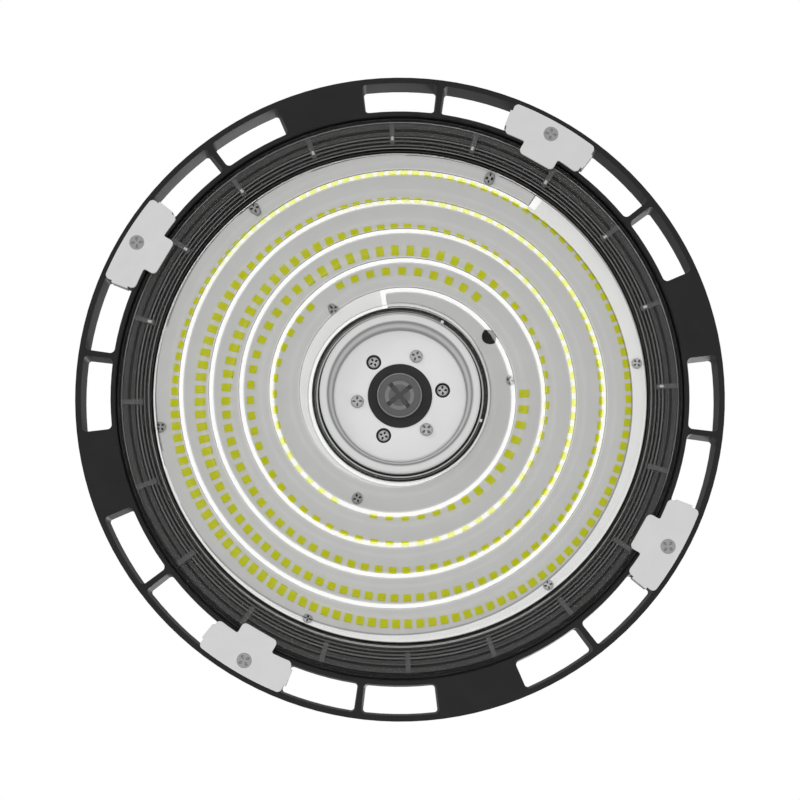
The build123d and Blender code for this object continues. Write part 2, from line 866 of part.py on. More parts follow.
# Cover gasket
with BuildPart() as cover_gasket:
    with BuildSketch(level(chamber_top, lid_screw_angle)):
        Circle(chamber_flange_radius)
        Circle(chamber_inner_radius, mode=Mode.SUBTRACT)
        with PolarLocations(lid_screw_circle, lid_screw_count):
            Circle(lid_screw_shank_radius + fit_gap, mode=Mode.SUBTRACT)
    extrude(amount=cover_gasket_thickness)
cover_gasket.part.label = "cover_gasket"

# Driver cover
with BuildPart() as driver_cover:
    with BuildSketch(Plane.XZ):
        with BuildLine():
            Polyline(
                (0, lid_ceiling),
                (0, lid_boss_top),
                (lid_boss_radius, lid_boss_top),
                (lid_boss_radius, lid_top),
                (lid_top_radius, lid_top),
                (lid_dome_radius, lid_flange_top),
                (chamber_flange_radius, lid_flange_top),
                (chamber_flange_radius, lid_base),
                (lid_dome_radius - lid_wall, lid_base),
                (lid_top_radius, lid_ceiling),
                close=True,
            )
        make_face()
    revolve(axis=Axis.Z)
    with BuildSketch(level(lid_base + lid_wall, gland_angle)):
        with Locations((gland_circle, 0)):
            Circle(gland_boss_radius)
    extrude(amount=gland_seat - lid_base - lid_wall)
    with Locations(level(lid_boss_top)):
        Hole(eye_shank_radius + thread_gap)
    with Locations(level(gland_seat, gland_angle)):
        with Locations((gland_circle, 0)):
            Hole(gland_thread_radius + thread_gap)
    with Locations(level(lid_flange_top, lid_screw_angle)):
        with PolarLocations(lid_screw_circle, lid_screw_count):
            Hole(lid_screw_shank_radius + fit_gap, lid_flange_thickness)
driver_cover.part.label = "driver_cover"

# Lid screws
lid_screw = pan_screw(
    lid_screw_head_radius,
    lid_screw_head_height,
    lid_screw_shank_radius,
    lid_screw_length,
)
with BuildPart(face_down(lid_flange_top, lid_screw_angle)) as lid_screws:
    with PolarLocations(lid_screw_circle, lid_screw_count):
        add(lid_screw)
lid_screws.part.label = "lid_screws"

# Hanging eye
eye_height = lid_boss_top + eye_collar_height + eye_outer_radius - eye_sink
washer_base = lid_ceiling - eye_washer_thickness
nut_base = washer_base - eye_nut_height
with BuildPart() as eyebolt:
    with BuildSketch(Plane.XZ):
        with Locations((0, eye_height)):
            Circle(eye_outer_radius)
            Circle(eye_inner_radius, mode=Mode.SUBTRACT)
    extrude(amount=eye_width / 2, both=True)
    fillet(eyebolt.edges().filter_by(GeomType.CIRCLE), eye_rounding)
    with BuildSketch(level(lid_boss_top)):
        Circle(eye_collar_radius)
    extrude(amount=eye_collar_height)
    with BuildSketch(level(nut_base - eye_shank_spare)):
        Circle(eye_shank_radius)
    extrude(amount=lid_boss_top - nut_base + eye_shank_spare)
eyebolt.part.label = "eyebolt"

with BuildPart() as eyebolt_washer:
    with BuildSketch(level(washer_base)):
        Circle(eye_washer_radius)
        Circle(eye_shank_radius + fit_gap, mode=Mode.SUBTRACT)
    extrude(amount=eye_washer_thickness)
eyebolt_washer.part.label = "eyebolt_washer"

with BuildPart() as eyebolt_nut:
    with BuildSketch(level(nut_base)):
        RegularPolygon(eye_nut_flats / 2, 6, major_radius=False)
        Circle(eye_shank_radius + thread_gap, mode=Mode.SUBTRACT)
    extrude(amount=eye_nut_height)
eyebolt_nut.part.label = "eyebolt_nut"

# Cable gland
gland_flange_top = gland_seat + gland_flange_height
gland_neck_top = gland_flange_top + gland_neck_height
gland_cavity_top = gland_neck_top + seal_head_height
gland_x = gland_circle * cos(radians(gland_angle))
gland_y = gland_circle * sin(radians(gland_angle))
with BuildPart() as gland_body:
    with BuildSketch(Plane.XY.offset(gland_seat)):
        with Locations((gland_x, gland_y)):
            RegularPolygon(gland_flats / 2, 6, major_radius=False)
    extrude(amount=gland_flange_height)
    with BuildSketch(Plane.XY.offset(gland_seat - gland_thread_length)):
        with Locations((gland_x, gland_y)):
            Circle(gland_thread_radius)
    extrude(amount=gland_thread_length)
    with BuildSketch(Plane.XY.offset(gland_flange_top)):
        with Locations((gland_x, gland_y)):
            Circle(gland_neck_radius)
    extrude(amount=gland_neck_height)
    with Locations((gland_x, gland_y, gland_neck_top)):
        Hole(gland_neck_bore)
gland_body.part.label = "gland_body"

with BuildPart() as gland_seal:
    with BuildSketch(Plane.XY.offset(gland_flange_top)):
        with Locations((gland_x, gland_y)):
            Circle(gland_neck_bore - thread_gap)
    extrude(amount=gland_neck_height)
    with BuildSketch(Plane.XY.offset(gland_neck_top)):
        with Locations((gland_x, gland_y)):
            Circle(gland_neck_radius)
    extrude(amount=seal_head_height)
    with Locations((gland_x, gland_y, gland_cavity_top)):
        Hole(seal_bore_radius)
gland_seal.part.label = "gland_seal"

with BuildPart() as gland_nut:
    with BuildSketch(Plane.XY.offset(gland_flange_top)):
        with Locations((gland_x, gland_y)):
            RegularPolygon(gland_flats / 2, 6, major_radius=False)
    extrude(amount=gland_neck_height)
    with BuildSketch(Plane.XY.offset(gland_neck_top)):
        with Locations((gland_x, gland_y)):
            Circle(gland_neck_radius + gland_nut_wall)
    extrude(amount=seal_head_height + gland_nut_top, taper=gland_nut_taper)
    with BuildSketch(Plane.XY.offset(gland_flange_top)):
        with Locations((gland_x, gland_y)):
            Circle(gland_neck_radius + thread_gap)
    extrude(amount=gland_neck_height + seal_head_height, mode=Mode.SUBTRACT)
    with Locations((gland_x, gland_y, gland_cavity_top + gland_nut_top)):
        Hole(gland_neck_bore)
gland_nut.part.label = "gland_nut"

# Export
pieces = [
    housing.part,
    lens_gasket_outer.part,
    lens_gasket_inner.part,
    lens.part,
    led_board.part,
    board_screws_outer.part,
    board_screws_inner.part,
    centre_cover.part,
    cover_screws.part,
    driver_screws.part,
    sensor_port.part,
    port_nut.part,
    port_plug.part,
    plug_seal.part,
    clip_screws.part,
    led_driver.part,
    wire_grommet.part,
    output_lead.part,
    cover_gasket.part,
    driver_cover.part,
    lid_screws.part,
    eyebolt.part,
    eyebolt_washer.part,
    eyebolt_nut.part,
    gland_body.part,
    gland_seal.part,
    gland_nut.part,
]
os.makedirs("parts", exist_ok=True)
for piece in pieces + led_parts + clip_parts:
    export_step(piece, f"parts/{piece.label}.step")
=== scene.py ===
import json
from math import atan2, cos, degrees, hypot, pi, radians, sin

import bmesh
import bpy
import numpy as np
from mathutils import Matrix, Vector


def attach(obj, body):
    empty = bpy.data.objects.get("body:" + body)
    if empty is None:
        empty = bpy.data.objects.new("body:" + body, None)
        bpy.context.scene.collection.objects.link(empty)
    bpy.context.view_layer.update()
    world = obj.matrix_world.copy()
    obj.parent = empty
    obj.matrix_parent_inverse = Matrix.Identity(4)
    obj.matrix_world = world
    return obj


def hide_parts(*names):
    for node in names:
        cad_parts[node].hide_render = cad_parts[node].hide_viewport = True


# The light hangs along +Z and shines down.
# Sizes are in millimetres until MM turns them into metres.

MM = 0.001
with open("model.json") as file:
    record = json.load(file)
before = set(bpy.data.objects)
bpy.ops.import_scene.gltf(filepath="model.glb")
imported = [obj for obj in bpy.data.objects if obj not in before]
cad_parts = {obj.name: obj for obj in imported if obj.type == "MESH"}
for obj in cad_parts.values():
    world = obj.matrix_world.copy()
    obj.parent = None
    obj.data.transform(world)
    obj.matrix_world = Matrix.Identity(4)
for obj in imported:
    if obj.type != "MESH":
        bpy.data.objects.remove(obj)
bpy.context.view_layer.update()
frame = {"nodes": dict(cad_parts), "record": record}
nodes = frame["nodes"]

# Camera, found from the ring in the photo
CAMERA_DISTANCE = 1148.0
CAMERA_TILT = 7.7
CAMERA_LENS = 98.73
CAMERA_AIM = 3.45
SENSOR_WIDTH = 36
CLIP_START = 0.01
CLIP_END = 100
RING_FRONT = 1.5

# Lens
OPTIC_FRONT = 4.0
OPTIC_BACK = 6.0
BOARD_FRONT = 9.5
LENS_RADIUS = 147.8
STEP_RADIUS = 145.9
STEP_DEPTH = 1.1
RIM_WALL_RADIUS = 131.2
OPTIC_RADIUS = 129.2
RIDGE_CLIP_RADIUS = 128.15
RIM_SKIN = 1.1
SLOPE_SHIFT = 0.3
SLOPE_STEPS = 5
CORNER = 0.35
STEP_LEDGE = 1.0
RIM_START = 0.1
BOARD_GAP = 0.3
LENS_INNER_RADIUS = 46.25
SPIRAL_CLIP_RADIUS = 46.35
INNER_WALL = 2.0

# Spiral ridge
PITCH = 15.83
START_RADIUS = 55.2
START_ANGLE = 262.0
SWEEP = 1842.0
VALLEY = 2.0
RIDGE_HEIGHT = 2.4
CREST = 4.6
RISER = (0.3, 1.25)
INNER_ROUND = (1.4, 0.22)
OUTER_ROUND = (5.5, 1.02)
END_RAMP = 0.2
RIDGE_SAMPLES = (
    *(0, 0.3, 0.75, 1.2, 1.7, 2.2, 2.7, 3.2, 3.7, 4.2, 4.6),
    *(5.3, 6.2, 7.2, 8.2, 9.2, 10.1, 11.5, 12.8, 13.4, 13.83, 14.1),
)
LENS_STEPS = 360
SPIRAL_TURNS = 8
ANGLE_SLACK = 1e-6
# Degrees of bright band before the ridge's start and past its end
END_BANDS = (3.0, 1.9)
# Line of painted shade where the optic's edge cuts the ridge, and the least height that counts as
# cut
CUT_LINE = 0.5
CUT_LEAST = 0.3
# From this unwrapped angle on, no ridge lies outside: width of the bright line, and the edge
# darkened with painted shade
LAST_TURN = 1744.0
LAST_LINE = 0.02
LAST_EDGE = (13.3, 13.86)
ON_DARK_EDGE = -1

# Painted shade on the clear lens: share of the light that each part of the lens lets through,
# lowered on the ridge, lines, slope and step
CLEAR = 1.0
FLAT_SHADED_CLEARNESS = 0.93
SLOPE_SHADED_CLEARNESS = 0.12
CUT_SHADED_CLEARNESS = 0.12
LAST_EDGE_SHADED_CLEARNESS = 0.4
STEP_SHADED_CLEARNESS = 0.45
RIDGE_SHADED_CLEARNESS = (0.66, 0.62)
# Width of the blend at the ridge's edges, start of the slope, and the step's shift, reach and depth
EDGE_BLEND = 0.9
SLOPE_START = 0.3
STEP_BAND = (0.2, 0.8, 0.05)
TOUCH = 0.01

# Finishes of the faces of the lens, in the order of its materials
FINISH_CLEAR, FINISH_WALL, FINISH_VALLEY, FINISH_RIM = range(4)
FINISH_SLACK = 0.1
WALL_DEPTH = 0.5

# Meshes in general: level faces, welding distance, share of an edge that a rounded corner takes
FLAT_NORMAL = 0.9998
WELD = 1e-7
CORNER_SHARE = 0.4

# Lip of the lens over the inner gasket
LIP_INNER_RADIUS = 43.95
LIP_FRONT = 5.4
LIP_THICKNESS = 1.0
LIP_START = 18.0
LIP_SWEEP = 282.0
LIP_STEPS = 282
LIP_GAP = 0.02
LIP_CORNER = 0.3

# Steps behind the clear rim: outer radius, inner radius, height, paleness. The darkest bands are
# the black behind the rim; the paler bands are painted highlights on the rim's edges, and the last
# is painted light from the board
RIM_BANDS = (
    (147.6, 146.3, 3.8, 0.018),
    (146.2, 142.7, 5.5, 0.066),
    (142.6, 141.2, 4.6, 0.018),
    (141.1, 140.8, 5.4, 0.140),
    (140.7, 139.1, 5.6, 0.064),
    (139.0, 138.2, 5.9, 0.014),
    (138.1, 137.4, 4.0, 0.150),
    (137.3, 136.5, 5.9, 0.014),
    (136.4, 135.6, 4.9, 0.110),
    (135.5, 134.5, 5.9, 0.012),
    (134.4, 133.8, 5.8, 0.130),
    (133.7, 132.2, 8.6, 0.070),
    (132.1, 131.4, 8.2, 0.480),
    (131.3, 129.5, 9.0, 0.040),
    (129.4, 128.4, 9.35, 0.850),
)
RIM_BACK = 5.98
RIM_BACK_RADIUS = 133.78
# Webs behind the rim; their inner tips carry painted highlights
WEB_COUNT = 20
WEB_ANGLE = 16.3
WEB_WIDTH = 2.6
WEB_INNER_RADIUS = 134.8
WEB_TIP_RADII = (136.2, 138.2)
WEB_OUTER_RADIUS = 146.0
WEB_FRONT = 3.6
WEB_PALENESS = 0.095
WEB_TIP_HIGHLIGHT_PALENESS = 0.50
WEB_TIP_WIDTH = 1.3
WEB_TIP_RISE = 0.1
BAND_EDGE_PALENESS = 0.01
BAND_GAP = 0.02

# Inner gasket with raised beads painted pale as highlight lines: radius, half width, height,
# paleness, first angle, sweep
GASKET_BOX = (42.4, 46.15, 6.75, 10.95)
GASKET_CORNER = 0.3
GASKET_PALENESS = 0.008
GASKET_SHARP = 60.0
HIGHLIGHT_BEADS = (
    (43.55, 0.4, 0.55, 0.55, 0.0, 360.0),
    (44.6, 0.25, 0.3, 0.14, 18.0, 282.0),
)
BEAD_STEPS = 8
BEAD_SINK = 0.02
NOTCH_ANGLES = (300.0, 18.0)
NOTCH_SIZE = (43.9, 45.2, 1.5, 0.75)
NOTCH_RISE = 0.15

# Screw heads
DEEP_PLACES = ((-13.88, -17.96), (22.5, -3.04), (-8.61, 21.0))
RAISED_PLACES = ((8.61, -21.0), (-22.5, 3.04), (13.88, 17.96))
OUTER_PLACES = (
    (47.81, -116.58),
    (124.86, -16.88),
    (77.05, 99.69),
    (-47.81, 116.58),
    (-124.86, 16.88),
    (-77.05, -99.69),
)
INNER_PLACES = ((-35.56, -46.01), (57.63, -7.79), (-22.07, 53.8))
CLIP_PLACES = ((80.15, -138.82), (138.82, 80.15), (-80.15, 138.82), (-138.82, -80.15))
SCREW_RINGS = (0.0, 0.14, 0.26, 0.36, 0.46, 0.56, 0.66, 0.78, 0.88, 0.95, 1.0)
SCREW_STEPS = 48
MARK_REACH = 0.48
MARK_LENGTH = 0.2
MARK_WIDTH = 0.13
MARK_DEPTH = 0.18
DOME_FALL = 0.28
EDGE_START = 0.8
EDGE_WIDTH = 0.2
EDGE_SLOPE = 0.72
EDGE_FALL = 0.6
RIM_SHARE = 0.9
# Painted shade: the rims and sides of the heads are darker than their tops
FLAT_RIM_SHADE = 0.92
DOME_RIM_SHADE = 0.72
SIDE_SHADE = 0.5
FLAT_FOOT = 0.5
# Each set: piece, places, radius, height, seat, paleness, paleness of the marks (painted shade in
# the recesses), turn of each cross, flat or domed, and the node that it replaces
SCREW_SETS = (
    (
        *("cover_screw_heads", RAISED_PLACES, 3.4, 2.4, 11.5, 0.56, 0.20),
        *((23, -2, 50), False, "cover_screws"),
    ),
    (
        *("driver_screw_heads", DEEP_PLACES, 3.0, 1.8, 13.5, 0.56, 0.01),
        *((60, -5, 23), False, "driver_screws"),
    ),
    (
        *("outer_board_screw_heads", OUTER_PLACES, 2.8, 1.8, 9.5, 0.56, 0.03),
        *((15, 50, 70), False, "board_screws_outer"),
    ),
    (
        *("inner_board_screw_heads", INNER_PLACES, 2.8, 1.8, 9.5, 0.56, 0.03),
        *((40, 10, 75), False, "board_screws_inner"),
    ),
    (
        *("clip_screw_heads", CLIP_PLACES, 3.9, 0.0, 0.08, 0.40, 0.37),
        *((10, 40, 65, 85), True, "clip_screws"),
    ),
)

# Plug of the sensor port. Its rings: radius, depth under the front, paleness; about 0.11 to 0.13 is
# the plug's own grey, the paler rings are painted highlights and the darker rings painted shade
PLUG_CENTRE = (-0.25, 0.0)
PLUG_FRONT = 8.4
PLUG_BACK = 10.15
PLUG_TURN = 51.5
PLUG_ARM_WIDTH = 2.1
PLUG_ARM_REACH = 8.0
PLUG_RINGS = (
    (0.0, 0.35, 0.11),
    (2.0, 0.30, 0.115),
    (4.0, 0.20, 0.12),
    (5.4, 0.14, 0.13),
    (5.8, 0.10, 0.20),
    (7.5, 0.10, 0.22),
    (7.9, 0.50, 0.10),
    (8.3, 0.55, 0.11),
    (10.8, 0.50, 0.125),
    (11.1, 0.10, 0.20),
    (11.5, 0.0, 0.32),
    (11.75, 0.25, 0.14),
    (11.9, 0.60, 0.08),
)
PLUG_STEPS = 180
PLUG_ARM_DROP = 0.75
PLUG_ARM_SPLIT = 5.6
# Painted shade in the cross slot, darker at its outer ends, and on the cap's side
PLUG_ARM_SHADES = (0.07, 0.045)
PLUG_SIDE_SHADE = 0.05

# Painted shade and dark painted reflection lines on the centre cover, in rings: radius and paleness
# of each stop
COVER_SHADE_RADII = (34.0, 39.0)
COVER_SHADE_RINGS = (
    (34.4, 1.0),
    (34.8, 0.85),
    (35.1, 0.40),
    (35.6, 0.45),
    (36.1, 0.85),
    (36.7, 0.88),
    (37.3, 0.42),
    (37.8, 0.34),
    (38.3, 0.6),
    (38.8, 0.875),
)

# Finishes in general
ROUGHNESS_SPREAD = 0.06
BUMP_DISTANCE = 0.1
FINE_DETAIL = 2.0
TONE_SPREAD = 0.06
TONED_GRAIN = 1.5
TONED_BUMP = 0.04
LENS_IOR = 1.586
LENS_ROUGHNESS = 0.02
LENS_TINT = (0.995, 0.995, 0.985)

# Lamps: name, place and target in metres, size, watts, seen in reflections
LAMPS = (
    ("lamp_front", (0, 0.2, -1.7), (0, 0, 0), 0.9, 12.0, False),
    ("lamp_left", (-1.2, -0.8, -1.1), (0, 0, 0.02), 0.7, 4.0, False),
    ("lamp_right", (1.3, 0.7, -1.0), (0, 0, 0.02), 0.7, 1.5, False),
    ("lamp_top", (0.8, 0.9, 1.4), (0, 0, 0.05), 1.0, 14.0, True),
)
SHEEN_LAMP = ("lamp_sheen", (0, -0.23, -1.7), (0, 0, 0), 0.95, 11.0, True)
WORLD_STRENGTH = 0.45

# Floor
FLOOR_HEIGHT = -2.2
FLOOR_HALF = 12.0
FLOOR_GRAIN = 0.001


def ridge_height_at(across):
    """Height of the ridge over the flat, at a distance from its inner edge."""
    width = PITCH - VALLEY

    def round_top(run, drop):
        bend = (run**2 + drop**2) / (2 * drop)
        offset = np.minimum(np.abs(across - CREST), run)
        return RIDGE_HEIGHT - (bend - np.sqrt(bend**2 - offset**2))

    inner_start = CREST - INNER_ROUND[0]
    outer_end = CREST + OUTER_ROUND[0]
    corners = (0, RISER[0], inner_start)
    heights = (0, RISER[1], RIDGE_HEIGHT - INNER_ROUND[1])
    rise = np.interp(across, corners, heights)
    fall = np.interp(across, (outer_end, width), (RIDGE_HEIGHT - OUTER_ROUND[1], 0))
    height = np.where(across < inner_start, rise, round_top(*INNER_ROUND))
    height = np.where(across > CREST, round_top(*OUTER_ROUND), height)
    height = np.where(across > outer_end, fall, height)
    return np.where((across > 0) & (across < width), height, 0)


def inner_edge_at(turned):
    """Radius of the ridge's inner edge at an unwrapped angle."""
    return START_RADIUS + PITCH * (turned - START_ANGLE) / 360 - PITCH + VALLEY / 2


def front_height(radius, turned):
    """Height of the front of the optic over its flats, at unwrapped angles."""
    across = radius - inner_edge_at(turned)
    started = turned >= START_ANGLE - ANGLE_SLACK
    unended = turned <= START_ANGLE + SWEEP + ANGLE_SLACK
    return np.where(started & unended, ridge_height_at(across), 0)


def cut_height(radius, angle):
    """Height of the ridge where it is cut off at a radius, at an angle."""
    turns = range(-1, SPIRAL_TURNS)
    return max(float(front_height(radius, angle + 360.0 * turn)) for turn in turns)


def angle_of(point):
    """Angle of a point round the axis, from 0 to 360 degrees."""
    return degrees(atan2(point.y, point.x)) % 360


def is_cut(point):
    """True where the optic's edge cuts off the ridge."""
    return cut_height(RIDGE_CLIP_RADIUS, angle_of(point)) > CUT_LEAST


def rounded(points, radius, steps=2):
    """A closed polyline with its corners rounded."""
    result = []
    count = len(points)
    for index, point in enumerate(points):
        here = Vector(point)
        before = Vector(points[index - 1]) - here
        after = Vector(points[(index + 1) % count]) - here
        reach = min(radius, before.length * CORNER_SHARE, after.length * CORNER_SHARE)
        start = here + before.normalized() * reach
        end = here + after.normalized() * reach
        for step in range(steps + 1):
            t = step / steps
            result.append(tuple(start * (1 - t) ** 2 + here * (2 * t * (1 - t)) + end * t**2))
    return result


def link(name, mesh):
    """A new piece in the scene."""
    piece = bpy.data.objects.new(name, mesh)
    bpy.context.scene.collection.objects.link(piece)
    return piece


def mesh_from(vertices, faces):
    """A mesh in metres from points in millimetres."""
    mesh = bpy.data.meshes.new("mesh")
    mesh.from_pydata([tuple(MM * c for c in v) for v in vertices], [], faces)
    mesh.update()
    return mesh


def revolved(profile, steps, start=0.0, sweep=360.0):
    """Vertices and faces of a closed profile of (radius, height) points turned about Z."""
    full = abs(sweep - 360) < ANGLE_SLACK
    columns = steps if full else steps + 1
    vertices = []
    for column in range(columns):
        angle = radians(start + sweep * column / steps)
        for radius, height in profile:
            vertices.append((radius * cos(angle), radius * sin(angle), height))
    count = len(profile)
    faces = []
    for column in range(steps):
        a = column * count
        b = ((column + 1) % columns) * count
        for row in range(count):
            other = (row + 1) % count
            faces.append((a + row, b + row, b + other, a + other))
    if not full:
        faces.append(tuple(range(count)))
        faces.append(tuple(reversed(range((columns - 1) * count, columns * count))))
    return vertices, faces


def tidy(mesh, sharp=35.0):
    """Welds and shades a mesh: level faces flat, so that no bevel tilts their shading."""
    work = bmesh.new()
    work.from_mesh(mesh)
    bmesh.ops.remove_doubles(work, verts=work.verts, dist=WELD)
    bmesh.ops.dissolve_degenerate(work, dist=WELD, edges=work.edges)
    bmesh.ops.recalc_face_normals(work, faces=work.faces)
    work.to_mesh(mesh)
    work.free()
    mesh.shade_smooth()
    mesh.set_sharp_from_angle(angle=radians(sharp))
    for polygon in mesh.polygons:
        if abs(polygon.normal.z) > FLAT_NORMAL:
            polygon.use_smooth = False
    return mesh


def place_on_optic(point):
    """Distance of a point across its ridge, or None on a flat.

    The bright bands at the ridge's ends count as valley.
    ON_DARK_EDGE stands for the outer edge of the last turn, darkened with painted shade.
    """
    angle = angle_of(point)
    for turn in range(SPIRAL_TURNS):
        turned = angle + 360 * turn
        across = hypot(point.x, point.y) - inner_edge_at(turned)
        if 0 <= across <= PITCH:
            if START_ANGLE - END_RAMP / 2 <= turned <= START_ANGLE + SWEEP + END_RAMP / 2:
                if turned > LAST_TURN and across > PITCH - VALLEY + LAST_LINE:
                    return None
                on_last_edge = turned > LAST_TURN and LAST_EDGE[0] < across < LAST_EDGE[1]
                return ON_DARK_EDGE if on_last_edge else across
            past_end = turned - START_ANGLE - SWEEP
            if -END_BANDS[0] <= turned - START_ANGLE < 0 or 0 < past_end <= END_BANDS[1]:
                return PITCH - VALLEY / 2
            return None
    return None


def shaded_clearness(point):
    """Share of light that a point of the lens lets through, used to paint shade on the clear
    plastic: a grey ridge between paler flats, and darker lines, slope and step.
    """
    radius = hypot(point.x, point.y)
    shift, reach, depth = STEP_BAND
    on_step = abs(radius - STEP_RADIUS - shift) < reach
    if point.z < RING_FRONT + STEP_DEPTH + depth and on_step:
        return STEP_SHADED_CLEARNESS
    rim_start = RIM_WALL_RADIUS + TOUCH
    if point.z < OPTIC_FRONT - TOUCH and OPTIC_RADIUS + SLOPE_START < radius < rim_start:
        return SLOPE_SHADED_CLEARNESS
    if point.z > OPTIC_FRONT + TOUCH or not LENS_INNER_RADIUS < radius < rim_start:
        return CLEAR
    if radius > RIDGE_CLIP_RADIUS - TOUCH:
        on_cut = radius < RIDGE_CLIP_RADIUS + TOUCH and is_cut(point)
        return CUT_SHADED_CLEARNESS if on_cut else CLEAR
    across = place_on_optic(point)
    if across is None:
        return FLAT_SHADED_CLEARNESS
    if across == ON_DARK_EDGE:
        return LAST_EDGE_SHADED_CLEARNESS
    if across >= PITCH - VALLEY:
        return CLEAR
    edge = min(1.0, across / EDGE_BLEND, (PITCH - VALLEY - across) / EDGE_BLEND)
    share = across / (PITCH - VALLEY)
    grey_part = RIDGE_SHADED_CLEARNESS[0] * (1 - share) + RIDGE_SHADED_CLEARNESS[1] * share
    return CLEAR * (1 - edge) + grey_part * edge


def lens_finish(centre, normal):
    """Finish of a face of the lens."""
    radius = hypot(centre.x, centre.y)
    wall_end = LENS_INNER_RADIUS + INNER_WALL + FINISH_SLACK
    if radius < wall_end and centre.z > OPTIC_BACK + WALL_DEPTH:
        return FINISH_WALL
    if radius > RIM_WALL_RADIUS or radius < LENS_INNER_RADIUS:
        return FINISH_RIM
    tilted = abs(centre.z - OPTIC_FRONT) > TOUCH or abs(normal.z) < FLAT_NORMAL
    if tilted or radius > OPTIC_RADIUS + FINISH_SLACK:
        return FINISH_CLEAR
    if radius > RIDGE_CLIP_RADIUS:
        in_valley = radius > RIDGE_CLIP_RADIUS + CUT_LINE and is_cut(centre)
    else:
        across = place_on_optic(centre)
        in_valley = across is not None and across > PITCH - VALLEY
    return FINISH_VALLEY if in_valley else FINISH_CLEAR


